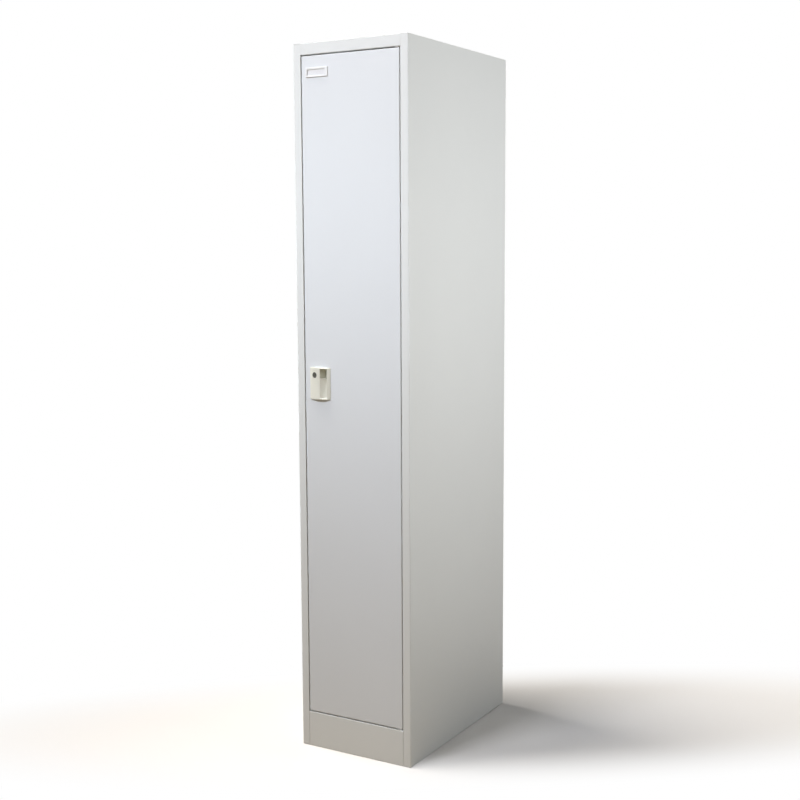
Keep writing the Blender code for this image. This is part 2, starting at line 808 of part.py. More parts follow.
def round_ends(plate, rear_y):
    """Rounds the bowed edges at the top and bottom of the handle plate."""
    bm = bmesh.new()
    bm.from_mesh(plate.data)
    bowed = []
    for edge in bm.edges:
        a, b = edge.verts
        level = abs(a.co.z - b.co.z) < SEAM
        ahead = max(a.co.y, b.co.y) < rear_y - SEAM
        if level and ahead:
            bowed.append(edge)
    bmesh.ops.bevel(bm, geom=bowed, offset=HANDLE_ROUND, segments=EDGE_STEPS, profile=0.5, affect="EDGES")
    bm.to_mesh(plate.data)
    bm.free()


def barrel_rim_y():
    """Face of the lock's rim, just under the bowed plate where that is lowest round the lock."""
    far_side = handle_x - lock_x + barrel_rim_radius
    return door_face_y - bow(far_side) + LOCK_SINK


def handle_retainer():
    """Plate behind the door skin that the lock's nut pulls the handle against."""
    left, right, foot, top = handle_hole()
    low = (left - RETAINER_LAP, door_seat_y, foot - RETAINER_LAP)
    high = (right + RETAINER_LAP, door_seat_y + RETAINER, top + RETAINER_LAP)
    plate = block("handle_retainer", low, high, "zinc_steel")
    cut(plate, grip_block("retainer_grip_hole", POCKET_WALL + RUNNING, door_face_y))
    centre = (lock_x, 0, lock_z)
    cut(plate, rod("retainer_barrel_hole", barrel_bore, door_face_y, door_back_y, "Y", centre))
    return plate


def lock_barrel():
    """Fixed body of the lock, and the nut that holds it and the handle in the door."""
    centre = (lock_x, 0, lock_z)
    rim_y = barrel_rim_y()
    profile = [
        (plug_bore, rim_y),
        (barrel_rim_radius, rim_y),
        (barrel_rim_radius, rim_y + BARREL_RIM),
        (barrel_radius, rim_y + BARREL_RIM),
        (barrel_radius, cam_y - SEAM),
        (plug_bore, cam_y - SEAM),
    ]
    barrel = turned("lock_barrel", profile, "Y", centre, "dark_nickel", ring=True)
    corner = barrel_bore + NUT_WALL
    turns = [side * math.pi / 3 for side in range(6)]
    corners = [(lock_z + corner * math.cos(turn), lock_x + corner * math.sin(turn)) for turn in turns]
    start = door_seat_y + RETAINER + SEAM
    nut = extruded("lock_nut", corners, "Y", start, start + NUT, "zinc_steel")
    cut(nut, rod("nut_bore", barrel_bore, start - NUT, start + 2 * NUT, "Y", centre))
    return [barrel, nut]


def lock_plug():
    """Turning core of the lock: a keyway in front, a square tail and a screw hole behind."""
    centre = (lock_x, 0, lock_z)
    rim_y = barrel_rim_y()
    tail_end = cam_y + CAM
    plug = rod("lock_plug", plug_radius, rim_y, cam_y - SEAM, "Y", centre, "dark_nickel")
    half = TAIL_SIDE / 2
    tail = block(
        "plug_tail",
        (lock_x - half, rim_y + KEYWAY_DEPTH, lock_z - half),
        (lock_x + half, tail_end, lock_z + half),
    )
    join(plug, tail)
    keyway = block(
        "keyway",
        (lock_x - KEYWAY_WIDTH / 2, rim_y - KEYWAY_DEPTH, lock_z - KEYWAY_HEIGHT / 2),
        (lock_x + KEYWAY_WIDTH / 2, rim_y + KEYWAY_DEPTH, lock_z + KEYWAY_HEIGHT / 2),
    )
    cut(plug, keyway)
    hole_start = tail_end - CAM_SCREW_LENGTH - SEAM
    hole_radius = CAM_SCREW_RADIUS + RUNNING
    return cut(plug, rod("cam_screw_hole", hole_radius, hole_start, tail_end + CAM, "Y", centre))


def lock_cam():
    """Flat cam that hangs down when unlocked and turns behind the lock side stop."""
    tip_half = CAM_TIP_WIDTH / 2
    reach = lock_x + jamb_x - CAM_END
    tip_centre = reach - tip_half
    outline = []
    for step in range(TIP_STEPS + 1):
        turn = math.pi * step / TIP_STEPS
        outline.append((lock_z + cam_radius * math.sin(turn), lock_x + cam_radius * math.cos(turn)))
    for step in range(TIP_STEPS + 1):
        turn = math.pi * step / TIP_STEPS
        outline.append(
            (lock_z - tip_centre - tip_half * math.sin(turn), lock_x - tip_half * math.cos(turn))
        )
    cam = extruded("lock_cam", outline, "Y", cam_y, cam_y + CAM, "zinc_steel")
    half = TAIL_SIDE / 2 + RUNNING
    hole = block(
        "cam_hole",
        (lock_x - half, cam_y - CAM, lock_z - half),
        (lock_x + half, cam_y + 2 * CAM, lock_z + half),
    )
    return cut(cam, hole)


def cam_fasteners():
    """Washer and screw that hold the cam on the plug's tail."""
    centre = (lock_x, 0, lock_z)
    start = cam_y + CAM + SEAM
    end = start + CAM_WASHER
    bore = CAM_SCREW_RADIUS + RUNNING
    washer = sleeve("cam_washer", CAM_WASHER_RADIUS, bore, start, end, "Y", centre, "zinc_steel")
    head_y = end + SEAM
    tip_y = cam_y + CAM - CAM_SCREW_LENGTH
    profile = [
        (0, tip_y),
        (CAM_SCREW_RADIUS, tip_y),
        (CAM_SCREW_RADIUS, head_y),
        (CAM_SCREW_HEAD_RADIUS, head_y),
        (CAM_SCREW_HEAD_RADIUS, head_y + CAM_SCREW_HEAD),
        (0, head_y + CAM_SCREW_HEAD),
    ]
    screw = turned("cam_screw", profile, "Y", centre, "zinc_steel")
    return [washer, screw]


def name_card_frame():
    """Plastic frame with a window, and a groove behind it that is open at its left end."""
    face_y = card_groove_y - CARD_FRAME_FACE
    left = window_x - WINDOW_LEFT
    right = window_x + WINDOW_WIDTH
    foot = window_z - WINDOW_HEIGHT
    frame = block(
        "name_card_frame",
        (left, face_y, foot - WINDOW_FOOT),
        (right + WINDOW_RIGHT, card_seat_y, window_z + WINDOW_TOP),
        "white_plastic",
    )
    reach = CARD_FRAME_FACE + CARD
    window = block(
        "card_window",
        (window_x, face_y - reach, foot),
        (right, card_seat_y + reach, window_z),
    )
    cut(frame, window)
    groove = block(
        "card_groove",
        (left - CARD_LIP, card_groove_y, foot - CARD_LIP),
        (right + CARD_LIP, card_seat_y + reach, window_z + CARD_LIP),
    )
    return cut(frame, groove)


def name_card():
    """Blank card that slides into the frame from its open end."""
    slip = CARD_LIP - RUNNING
    low = (window_x - WINDOW_LEFT + CARD_END, card_seat_y - CARD, window_z - WINDOW_HEIGHT - slip)
    high = (window_x + WINDOW_WIDTH + slip, card_seat_y, window_z + slip)
    return block("name_card", low, high, "card_stock")


def main():
    clear_scene()
    cabinet = add_axis("cabinet", (0, 0, 0))
    fixed = side_panels() + foot_angles() + door_jambs()
    fixed += [top_panel(), kick_plate(), back_panel()]
    fixed += floor_pan() + hat_shelf() + hanger_rod()
    fixed += frame_hinge_parts() + door_buffers()
    hang(fixed, cabinet)

    door = add_axis("door_axis", (hinge_x, hinge_y, door_bottom_z), cabinet)
    swinging = [door_skin(), door_rib()]
    swinging.append(door_channel("lock_side_channel", -channel_x))
    swinging.append(door_channel("hinge_side_channel", channel_x - CHANNEL_WIDTH))
    swinging += door_hinge_end("upper", door_top_z, -1)
    swinging += door_hinge_end("lower", door_bottom_z, 1)
    swinging.append(thrust_washer())
    swinging += [handle_body(), handle_retainer(), name_card_frame()]
    swinging += lock_barrel()
    hang(swinging, door)

    lock = add_axis("lock_axis", (lock_x, door_face_y, lock_z), door)
    hang([lock_plug(), lock_cam()] + cam_fasteners(), lock)

    card = add_axis("card_axis", (window_x, card_seat_y, window_z), door)
    hang([name_card()], card)


main()
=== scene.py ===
"""Looks of the single door locker: finer meshes, finishes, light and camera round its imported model."""

import json
import math

import bmesh
import bpy
from mathutils import Matrix, Vector

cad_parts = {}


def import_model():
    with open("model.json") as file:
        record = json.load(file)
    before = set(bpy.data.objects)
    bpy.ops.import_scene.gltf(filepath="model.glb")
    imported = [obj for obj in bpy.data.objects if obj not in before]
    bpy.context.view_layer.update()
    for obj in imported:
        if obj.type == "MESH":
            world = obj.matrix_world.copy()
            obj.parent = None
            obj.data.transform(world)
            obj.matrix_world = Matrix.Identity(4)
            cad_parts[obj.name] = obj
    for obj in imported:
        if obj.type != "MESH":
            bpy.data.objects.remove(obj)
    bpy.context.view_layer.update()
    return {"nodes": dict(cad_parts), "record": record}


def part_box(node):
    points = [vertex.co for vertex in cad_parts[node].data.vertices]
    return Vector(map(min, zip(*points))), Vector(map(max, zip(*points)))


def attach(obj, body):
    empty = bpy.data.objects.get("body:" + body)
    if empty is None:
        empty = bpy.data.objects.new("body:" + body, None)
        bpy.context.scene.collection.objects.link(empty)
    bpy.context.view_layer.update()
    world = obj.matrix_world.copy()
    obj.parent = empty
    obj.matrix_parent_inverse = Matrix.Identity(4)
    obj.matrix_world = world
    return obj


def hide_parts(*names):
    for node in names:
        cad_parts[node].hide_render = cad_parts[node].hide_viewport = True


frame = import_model()
scene = bpy.context.scene
scene.view_settings.view_transform = "Standard"

nodes = frame["nodes"]
record = frame["record"]
body_of = {node: body for body, members in record["behaviour"]["bodies"].items() for node in members}
slot_of = {part["node"]: part["material_slot"] for part in record["subparts"]}
written = {material["slot"]: tuple(material["base_color"]) for material in record["materials"]}


def placed(name, data):
    """A new object with this data, in the scene."""
    thing = bpy.data.objects.new(name, data)
    scene.collection.objects.link(thing)
    return thing


def new_mesh(name, points, faces):
    mesh = bpy.data.meshes.new(name)
    mesh.from_pydata(points, [], faces)
    return mesh


def clamped(share):
    return min(1.0, max(0.0, share))


# Finishes. Every texture is laid out in metres on the piece itself, so it goes along with the piece.

NOISE_LOW, NOISE_HIGH = 0.3, 0.7  # nearly all of a noise texture's values lie between these


def shaded(colour, share):
    """The same colour, brighter or darker by a share."""
    return tuple(min(1.0, c * share) for c in colour) + (1.0,)


class Finish:
    """A material under construction: its shader and the texture nodes that feed it."""

    def __init__(self, slot, roughness, metallic=0.0, specular=0.5):
        self.slot = slot
        self.material = bpy.data.materials.new(slot)
        self.material.use_nodes = True
        self.tree = self.material.node_tree
        self.shader = self.tree.nodes["Principled BSDF"]
        self.shader.inputs["Roughness"].default_value = roughness
        self.shader.inputs["Metallic"].default_value = metallic
        self.shader.inputs["Specular IOR Level"].default_value = specular
        self.place = self.tree.nodes.new("ShaderNodeTexCoord").outputs["Object"]
        self.relief = None

    def link(self, output, target):
        self.tree.links.new(output, target)

    def noise(self, scale, detail, stretch=(1.0, 1.0, 1.0)):
        """Noise with so many blots to the metre, drawn out along an axis where stretch is small."""
        mapping = self.tree.nodes.new("ShaderNodeMapping")
        mapping.inputs["Scale"].default_value = stretch
        self.link(self.place, mapping.inputs["Vector"])
        texture = self.tree.nodes.new("ShaderNodeTexNoise")
        texture.inputs["Scale"].default_value = scale
        texture.inputs["Detail"].default_value = detail
        self.link(mapping.outputs["Vector"], texture.inputs["Vector"])
        return texture.outputs["Fac"]

    def span(self, noise, low, high):
        """A noise value spread from low to high."""
        spread = self.tree.nodes.new("ShaderNodeMapRange")
        spread.inputs["From Min"].default_value = NOISE_LOW
        spread.inputs["From Max"].default_value = NOISE_HIGH
        spread.inputs["To Min"].default_value = low
        spread.inputs["To Max"].default_value = high
        self.link(noise, spread.inputs["Value"])
        return spread.outputs["Result"]

    def tint(self, noise, dark, light):
        """The slot's colour, times a share from dark to light."""
        mix = self.tree.nodes.new("ShaderNodeMix")
        mix.data_type = "RGBA"
        sockets = {socket.identifier: socket for socket in mix.inputs}
        sockets["A_Color"].default_value = shaded(written[self.slot], dark)
        sockets["B_Color"].default_value = shaded(written[self.slot], light)
        self.link(self.span(noise, 0.0, 1.0), sockets["Factor_Float"])
        results = {socket.identifier: socket for socket in mix.outputs}
        self.link(results["Result_Color"], self.shader.inputs["Base Color"])

    def roughness(self, noise, low, high):
        self.link(self.span(noise, low, high), self.shader.inputs["Roughness"])

    def bump(self, noise, depth):
        """Relief of so many metres, laid over the relief that is already there."""
        layer = self.tree.nodes.new("ShaderNodeBump")
        layer.inputs["Distance"].default_value = depth
        layer.inputs["Strength"].default_value = 1.0
        self.link(noise, layer.inputs["Height"])
        if self.relief is not None:
            self.link(self.relief, layer.inputs["Normal"])
        self.relief = layer.outputs["Normal"]
        self.link(self.relief, self.shader.inputs["Normal"])


def powder_coat(slot):
    """Satin powder coat on sheet steel: slow swell of the sheet, orange peel, faint uneven gloss."""
    finish = Finish(slot, roughness=0.45)
    finish.tint(finish.noise(scale=2.6, detail=4.0), dark=0.985, light=1.015)
    finish.roughness(finish.noise(scale=40.0, detail=3.0), low=0.41, high=0.49)
    finish.bump(finish.noise(scale=2.3, detail=0.0), depth=0.0012)
    finish.bump(finish.noise(scale=620.0, detail=1.0), depth=0.000012)
    return finish.material


def moulded(slot, roughness):
    """Moulded plastic: a fine spark-eroded skin and a trace of flow in the colour."""
    finish = Finish(slot, roughness)
    flow = finish.noise(scale=38.0, detail=3.0, stretch=(1.0, 1.0, 0.35))
    finish.tint(flow, dark=0.975, light=1.02)
    finish.roughness(finish.noise(scale=260.0, detail=2.0), low=roughness - 0.05, high=roughness + 0.05)
    finish.bump(finish.noise(scale=2400.0, detail=1.0), depth=0.000004)
    return finish.material


def plated(slot, roughness, grain, stretch=(1.0, 1.0, 1.0)):
    """Plated metal with the drawn or turned grain of the steel below it."""
    finish = Finish(slot, roughness, metallic=1.0)
    finish.tint(finish.noise(scale=55.0, detail=4.0), dark=0.93, light=1.06)
    lines = finish.noise(scale=grain, detail=2.0, stretch=stretch)
    finish.roughness(lines, low=roughness * 0.8, high=roughness * 1.2)
    finish.bump(lines, depth=0.000002)
    return finish.material


def rubber(slot):
    """Matt rubber with a bloom of paler dust."""
    finish = Finish(slot, roughness=0.8, specular=0.3)
    finish.tint(finish.noise(scale=180.0, detail=4.0), dark=0.9, light=1.5)
    finish.roughness(finish.noise(scale=300.0, detail=2.0), low=0.74, high=0.86)
    finish.bump(finish.noise(scale=1500.0, detail=2.0), depth=0.00002)
    return finish.material


def card_stock(slot):
    """Blank uncoated card: short fibres and a cloudy formation."""
    finish = Finish(slot, roughness=0.9, specular=0.2)
    cloud = finish.noise(scale=220.0, detail=5.0)
    finish.tint(cloud, dark=0.965, light=1.01)
    finish.roughness(cloud, low=0.86, high=0.94)
    fibres = finish.noise(scale=1300.0, detail=3.0, stretch=(0.35, 1.0, 1.0))
    finish.bump(fibres, depth=0.00001)
    return finish.material


finishes = {
    "cabinet_paint": powder_coat("cabinet_paint"),
    "door_paint": powder_coat("door_paint"),
    "ivory_plastic": moulded("ivory_plastic", roughness=0.36),
    "white_plastic": moulded("white_plastic", roughness=0.34),
    "nylon": moulded("nylon", roughness=0.5),
    "dark_nickel": plated("dark_nickel", roughness=0.34, grain=900.0),
    "zinc_steel": plated("zinc_steel", roughness=0.36, grain=420.0, stretch=(1.0, 1.0, 0.08)),
    "chrome": plated("chrome", roughness=0.14, grain=900.0, stretch=(0.03, 1.0, 1.0)),
    "rubber": rubber("rubber"),
    "card_stock": card_stock("card_stock"),
}

# Every solid gets its finish. The name card is shown as it is, and pieces made below stand for the others.
for node, solid in nodes.items():
    for material_slot in solid.material_slots:
        material_slot.material = finishes[slot_of[node]]


# Meshes.

WELD = 0.000004  # points closer than this are joined
FLAT_ANGLE = 0.3  # degrees: faces that meet at less are one flat region
FOLD_SHARP = 35.0  # degrees: edges over this angle stay sharp in the shading
BEVEL_FROM = 40.0  # degrees: edges over this angle are broken
BEVEL_STEPS = 2  # faces across a broken edge
LARGE_FACE_WEIGHT = 100  # the most that a large face can count in the shading
ON_PLANE = 0.0005  # a point this close to an end face lies on it
WALL_LIFT = 0.0016  # height of a wall's lower edge over the floor
KICK_JOINT = 0.0005  # how much each end of the kick plate is drawn in
WINDOW_SLOPE = 0.0012  # slope round the card frame's window
FRAME_SLOPE = 0.0006  # slope at the frame's foot and top
FRAME_RIGHT = (0.0035, 0.0014)  # width and depth of the slope at its right end


def joined_mesh(node):
    """The node's faces joined along their edges, with flat regions as single faces."""
    bm = bmesh.new()
    bm.from_mesh(nodes[node].data)
    bmesh.ops.remove_doubles(bm, verts=bm.verts, dist=WELD)
    bmesh.ops.dissolve_limit(bm, angle_limit=math.radians(FLAT_ANGLE), verts=bm.verts, edges=bm.edges)
    bm.verts.ensure_lookup_table()
    points = [vert.co.copy() for vert in bm.verts]
    faces = [[vert.index for vert in face.verts] for face in bm.faces]
    bm.free()
    return new_mesh(node + "_fine", points, faces)


def stand_for(mesh, node, sharp):
    """A piece with this mesh in the node's place. Its edges over the sharp angle, in degrees, stay sharp."""
    for face in mesh.polygons:
        face.use_smooth = True
    mesh.set_sharp_from_angle(angle=math.radians(sharp))
    piece = placed(node + "_fine", mesh)
    mesh.materials.append(finishes[slot_of[node]])
    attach(piece, body_of[node])
    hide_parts(node)
    return piece


def even_normals(piece):
    """Large flat faces keep their own direction, so that only the folds and rounds shade across."""
    weighted = piece.modifiers.new("even_normals", "WEIGHTED_NORMAL")
    weighted.keep_sharp = True
    weighted.weight = LARGE_FACE_WEIGHT


def smooth_copy(node, bevel=0.0, shape=None):
    """The node with folds that shade round, its mesh changed by shape and its sharp edges broken by bevel."""
    mesh = joined_mesh(node)
    if shape is not None:
        shape(mesh)
    piece = stand_for(mesh, node, FOLD_SHARP)
    if bevel:
        edge = piece.modifiers.new("broken_edges", "BEVEL")
        edge.width = bevel
        edge.segments = BEVEL_STEPS
        edge.limit_method = "ANGLE"
        edge.angle_limit = math.radians(BEVEL_FROM)
        edge.use_clamp_overlap = True
    even_normals(piece)


def raised_foot(mesh):
    """Lifts the lower edge of a wall off the floor, so that the foot angle carries it."""
    for vert in mesh.vertices:
        if vert.co.z < ON_PLANE:
            vert.co.z = WALL_LIFT


def shorter_ends(mesh):
    """Draws the ends of the kick plate in, so that its joints with the uprights show."""
    reach = max(vert.co.x for vert in mesh.vertices)
    for vert in mesh.vertices:
        if abs(vert.co.x) > reach - ON_PLANE:
            vert.co.x -= math.copysign(KICK_JOINT, vert.co.x)


def sloped_frame(mesh):
    """Slopes the front edges of the name card frame's window, foot, top and right end."""
    low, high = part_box("name_card_frame")
    bm = bmesh.new()
    bm.from_mesh(mesh)
    margin = 2 * WINDOW_SLOPE

    def in_front(vert):
        return vert.co.y < low.y + ON_PLANE

    def on_window(vert):
        between_ends = low.x + margin < vert.co.x < high.x - margin
        return in_front(vert) and between_ends and low.z + margin < vert.co.z < high.z - margin

    def on_rim(edge):
        if not all(in_front(vert) for vert in edge.verts):
            return False
        at_foot = all(vert.co.z < low.z + ON_PLANE for vert in edge.verts)
        at_top = all(vert.co.z > high.z - ON_PLANE for vert in edge.verts)
        at_right = all(vert.co.x > high.x - ON_PLANE for vert in edge.verts)
        return at_foot or at_top or at_right

    def slope(edges, width):
        bmesh.ops.bevel(bm, geom=edges, offset=width, segments=1, profile=0.5, affect="EDGES")

    slope([edge for edge in bm.edges if all(on_window(vert) for vert in edge.verts)], WINDOW_SLOPE)
    slope([edge for edge in bm.edges if on_rim(edge)], FRAME_SLOPE)
    for vert in bm.verts:
        if vert.co.x > high.x - FRAME_SLOPE - ON_PLANE and in_front(vert):
            vert.co.x -= FRAME_RIGHT[0] - FRAME_SLOPE
        elif vert.co.x > high.x - ON_PLANE and vert.co.y < low.y + FRAME_SLOPE + ON_PLANE:
            vert.co.y += FRAME_RIGHT[1] - FRAME_SLOPE
    bm.to_mesh(mesh)
    bm.free()


# Handle: a bowed plate with a finger pocket, built as one grid of points in front and one behind.

PLATE_EDGE = 0.0025  # rise of the plate's left edge over the door
RIGHT_EDGE = 0.0014  # rise of its right edge
PLATE_SEAM = 0.0003  # gap between the plate and the door
POCKET_SIDE = 0.0079  # plate right of the pocket
POCKET_WIDTH = 0.018
POCKET_TOP = 0.0030  # plate over the pocket
POCKET_WALL = 0.0012  # wall of the shell round the grip
POCKET_BRIM = 0.0010  # width over which the pocket's walls fall
GRIP_START = 0.0003  # grip's edge inside the pocket's
GRIP_LAP = 0.0006  # grip's right edge outside the pocket's
GRIP_LEVEL = 0.0534  # over the plate's foot: the pocket is deep from here up
GRIP_REST = 0.0018  # shell left behind the grip
GRIP_SINK = 0.0015  # fall of the grip's foot towards its back
GRIP_FOOT = 0.012  # height over which that fall runs out
FLOOR_REST = 0.0010  # plate left behind the pocket's lower floor
FLOOR_TILT = 0.22  # fall of the lower floor to the right
BOWL_DEPTH = 0.0074  # how much the lower floor is hollowed out below the grip
BOWL_START = 7  # how soon it is that deep
BOWL_RISE = 0.45  # share of that depth that is gone at the lip
RISE_START = 0.55  # share of the way down from the grip to the foot where the bowl starts to rise
RISE_LENGTH = 0.4  # share of that way over which it rises
LIP_LEVEL = 0.0008  # over the plate's foot: the pocket's floor runs out here
LIP_LENGTH = 0.0030  # height over which it runs out in the middle
LIP_BEND = 0.0070  # how much sooner it starts to run out beside the walls
TOP_ARCH = 0.0012  # fall of the top edge from the crown to the long edges
TOP_ROUND = (0.0024, 0.60)  # width of an edge's round, and share of the thickness that is gone at the edge
LEFT_ROUND = (0.0012, 0.50)
RIGHT_ROUND = (0.0010, 0.50)
FOOT_ROUND = (0.0006, 0.40)
LOCK_CLEAR = 0.0003  # gap round the lock's barrel
LOCK_RIM = 0.0028  # depth of the wide bore behind the barrel's front
BARREL_STEP = 0.0013  # how much smaller the radius of the bore behind it is
BORE_SIDES = 64  # flat sides of each bore
HANDLE_SHARP = 40.0  # degrees: edges over this angle stay sharp in the shading

handle_low, handle_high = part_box("handle_body")
lock_low, lock_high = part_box("lock_barrel")
door_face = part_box("door_skin")[0].y
plate_rear = door_face - PLATE_SEAM
plate_half = (handle_high.x - handle_low.x) / 2
plate_middle = (handle_low.x + handle_high.x) / 2
pocket_right = handle_high.x - POCKET_SIDE
pocket_left = pocket_right - POCKET_WIDTH
pocket_top = handle_high.z - POCKET_TOP
pocket_deep = handle_high.y - GRIP_REST
grip_z = handle_low.z + GRIP_LEVEL


def ease(share):
    """0 below 0, 1 above 1, and a smooth rise between them."""
    share = clamped(share)
    return share * share * (3.0 - 2.0 * share)


def plate_y(x):
    """The bowed face of the plate, without its pocket. Its right edge is thinner than its left one."""
    offset = x - plate_middle
    crown = door_face - handle_low.y - (RIGHT_EDGE if offset > 0.0 else PLATE_EDGE)
    radius = (plate_half * plate_half + crown * crown) / (2 * crown)
    return handle_low.y + radius - math.sqrt(radius * radius - offset * offset)


def pocket_floor(x, z):
    """The pocket's lower floor: a bowl that falls to the right, and runs out in a lip with a rounded root."""
    right = clamped((x - pocket_left) / POCKET_WIDTH)
    down = clamped((grip_z - z) / (grip_z - handle_low.z))
    hollow = BOWL_DEPTH * (1.0 - (1.0 - down) ** BOWL_START) * right * (2.0 - right)
    hollow *= 1.0 - BOWL_RISE * ease((down - RISE_START) / RISE_LENGTH)
    bowl = min(plate_rear - FLOOR_REST, plate_y(pocket_left) + FLOOR_TILT * (x - pocket_left) + hollow)
    face = plate_y(x)
    bend = LIP_BEND * (1.0 - math.sqrt(1.0 - (2.0 * right - 1.0) ** 2))
    return face + (bowl - face) * clamped((z - handle_low.z - LIP_LEVEL) / (LIP_LENGTH + bend))


def edge_round(gap, size):
    """How much of the plate's thickness is gone at this distance from an edge."""
    reach, share = size
    near = max(0.0, 1.0 - gap / reach)
    return share * (1.0 - math.sqrt(1.0 - near * near))


def arched(x, z):
    """The same level, let down towards the ends of the arched top edge."""
    offset = (x - plate_middle) / plate_half
    return z - TOP_ARCH * offset * offset * ease((z - grip_z) / (handle_high.z - grip_z))


def in_pocket(x, z):
    """How far the place lies inside the pocket's edges, and its share of the grip's full depth."""
    inside = min(x - pocket_left, pocket_right - x, pocket_top - z)
    sideways = min(x - pocket_left - GRIP_START, pocket_right + GRIP_LAP - x)
    grip = min(sideways, pocket_top - GRIP_START - z, z - grip_z)
    return inside, ease(grip / POCKET_BRIM)


def handle_front(x, z):
    """A point of the plate's front, with its pocket and rounded edges."""
    y = plate_y(x)
    inside, deep = in_pocket(x, z)
    y += (pocket_floor(x, z) - y) * ease(inside / POCKET_BRIM)
    y += (pocket_deep - y) * deep
    gone = max(edge_round(handle_high.z - z, TOP_ROUND), edge_round(z - handle_low.z, FOOT_ROUND),
               edge_round(x - handle_low.x, LEFT_ROUND), edge_round(handle_high.x - x, RIGHT_ROUND))
    sunk = GRIP_SINK * deep * max(0.0, 1.0 - (z - grip_z) / GRIP_FOOT)
    return x, y + (plate_rear - y) * gone, arched(x, z) - sunk


def handle_rear(x, z):
    """A point of the plate's flat back, with the grip's shell behind it."""
    inside = min(x - pocket_left, pocket_right - x, pocket_top - z, z - grip_z + GRIP_SINK) + POCKET_WALL
    return x, plate_rear + (handle_high.y - plate_rear) * ease(inside / POCKET_WALL), arched(x, z)


def graded(spans):
    """Places from the first start to the last end, with so many steps in each span."""
    places = [spans[0][0]]
    for start, end, steps in spans:
        places += [start + (end - start) * (step + 1) / steps for step in range(steps)]
    return places


def handle_grid():
    """Closed mesh of the plate and its pocket, still without the lock's bore."""
    brim = POCKET_BRIM * 2
    xs = graded([(handle_low.x, handle_low.x + LEFT_ROUND[0], 4),
                 (handle_low.x + LEFT_ROUND[0], pocket_left - POCKET_WALL, 14),
                 (pocket_left - POCKET_WALL, pocket_left, 2),
                 (pocket_left, pocket_left + brim, 8),
                 (pocket_left + brim, pocket_right - brim, 14),
                 (pocket_right - brim, pocket_right, 8),
                 (pocket_right, pocket_right + POCKET_WALL, 2),
                 (pocket_right + POCKET_WALL, handle_high.x - RIGHT_ROUND[0], 3),
                 (handle_high.x - RIGHT_ROUND[0], handle_high.x, 5)])
    lip_z = handle_low.z + LIP_LEVEL
    root_z = lip_z + LIP_LENGTH + LIP_BEND
    shell_z = grip_z - GRIP_SINK
    zs = graded([(handle_low.z, handle_low.z + FOOT_ROUND[0], 3),
                 (handle_low.z + FOOT_ROUND[0], lip_z, 2),
                 (lip_z, root_z, 20),
                 (root_z, shell_z - POCKET_WALL, 16),
                 (shell_z - POCKET_WALL, shell_z, 2),
                 (shell_z, grip_z, 2),
                 (grip_z, grip_z + brim, 8),
                 (grip_z + brim, pocket_top - brim, 8),
                 (pocket_top - brim, pocket_top, 8),
                 (pocket_top, pocket_top + POCKET_WALL, 4),
                 (pocket_top + POCKET_WALL, handle_high.z, 8)])
    count = len(zs)
    points = [handle_front(x, z) for x in xs for z in zs]
    behind = len(points)
    points += [handle_rear(x, z) for x in xs for z in zs]
    faces = []
    for i in range(len(xs) - 1):
        for j in range(count - 1):
            corner = i * count + j
            quad = (corner, corner + count, corner + count + 1, corner + 1)
            faces += [quad, tuple(behind + k for k in reversed(quad))]
    rim = [i * count for i in range(len(xs))]
    rim += [(len(xs) - 1) * count + j for j in range(1, count)]
    rim += [i * count + count - 1 for i in reversed(range(len(xs) - 1))]
    rim += list(reversed(range(1, count - 1)))
    for a, b in zip(rim, rim[1:] + rim[:1]):
        faces.append((b, a, behind + a, behind + b))
    return new_mesh("handle_grid", points, faces)


def bored(mesh, name, bores):
    """The mesh with round holes along Y round the lock's axis, each given as radius, start and end."""
    axis_x, axis_z = (lock_low.x + lock_high.x) / 2, (lock_low.z + lock_high.z) / 2
    blank = placed(name + "_blank", mesh)
    helpers = [blank]
    for radius, start, end in bores:
        place = Matrix.Translation((axis_x, (start + end) / 2, axis_z)) @ Matrix.Rotation(math.pi / 2, 4, "X")
        bm = bmesh.new()
        bmesh.ops.create_cone(bm, cap_ends=True, segments=BORE_SIDES, radius1=radius, radius2=radius,
                              depth=end - start, matrix=place)
        rod_mesh = bpy.data.meshes.new(name + "_tool")
        bm.to_mesh(rod_mesh)
        bm.free()
        rod = placed(name + "_tool", rod_mesh)
        helpers.append(rod)
        hole = blank.modifiers.new("hole", "BOOLEAN")
        hole.operation = "DIFFERENCE"
        hole.solver = "EXACT"
        hole.object = rod
    seen = blank.evaluated_get(bpy.context.evaluated_depsgraph_get())
    result = bpy.data.meshes.new_from_object(seen)
    for helper in helpers:
        data = helper.data
        bpy.data.objects.remove(helper)
        bpy.data.meshes.remove(data)
    result.name = name + "_fine"
    result.materials.clear()
    return result


def fine_handle():
    """The handle with the two bores that its lock sits in."""
    wide = (lock_high.x - lock_low.x) / 2 + LOCK_CLEAR
    bores = [(wide, handle_low.y - LOCK_RIM, lock_low.y + LOCK_RIM),
             (wide - BARREL_STEP, lock_low.y, handle_high.y)]
    mesh = bored(handle_grid(), "handle_body", bores)
    even_normals(stand_for(mesh, "handle_body", HANDLE_SHARP))


# Pieces.

